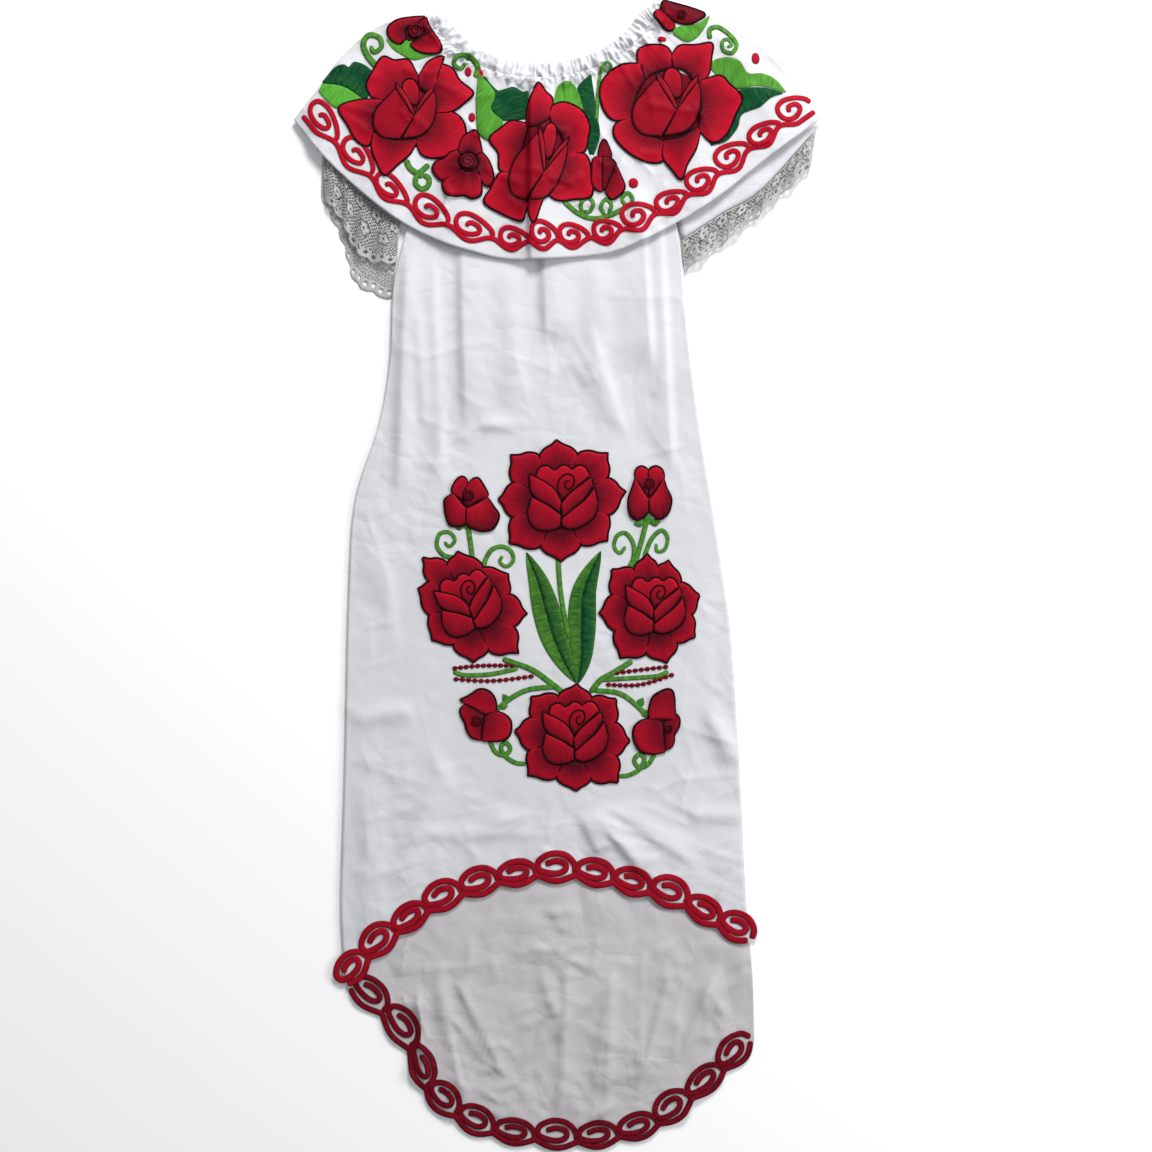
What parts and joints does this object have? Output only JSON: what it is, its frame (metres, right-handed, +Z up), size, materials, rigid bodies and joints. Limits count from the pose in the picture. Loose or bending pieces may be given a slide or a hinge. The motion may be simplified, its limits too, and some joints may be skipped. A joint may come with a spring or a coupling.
{
  "type": "embroidered_dress",
  "caption": "White cotton off-the-shoulder dress with a gathered neck ruffle, lace cuffs, a high-low scalloped hem and red satin-stitch roses, laid flat.",
  "frame": {"origin": "centre of the footprint, on the surface that the dress lies on", "axes": "+Z up from the surface towards the viewer, +Y along the dress towards the neck, +X to the viewer's right"},
  "size_m": [0.554, 1.206, 0.0188],
  "materials": {
    "white_cotton": "matte",
    "white_lace": "matte",
    "red_thread": "satin",
    "green_thread": "satin"
  },
  "bodies": {
    "root": {"back_panel": "white_cotton", "back_ruffle": "white_cotton", "front_panel": "white_cotton", "front_ruffle": "white_cotton", "neck_band_back": "white_cotton", "neck_band_front": "white_cotton", "sleeve_left": "white_cotton", "sleeve_right": "white_cotton", "lace_left_back": "white_lace", "lace_left_front": "white_lace", "lace_right_back": "white_lace", "lace_right_front": "white_lace", "rose_top": "red_thread", "rose_left": "red_thread", "rose_right": "red_thread", "rose_bottom": "red_thread", "bud_upper_left": "red_thread", "bud_upper_right": "red_thread", "bud_lower_left": "red_thread", "bud_lower_right": "red_thread", "ruffle_rose_left": "red_thread", "ruffle_rose_centre": "red_thread", "ruffle_rose_right": "red_thread", "ruffle_bud_low_left": "red_thread", "ruffle_bud_low_right": "red_thread", "leaf_left": "green_thread", "leaf_right": "green_thread", "ruffle_leaf_left": "green_thread", "ruffle_leaf_centre_left": "green_thread", "ruffle_leaf_centre_right": "green_thread", "ruffle_leaf_right": "green_thread"}
  },
  "joints": []
}
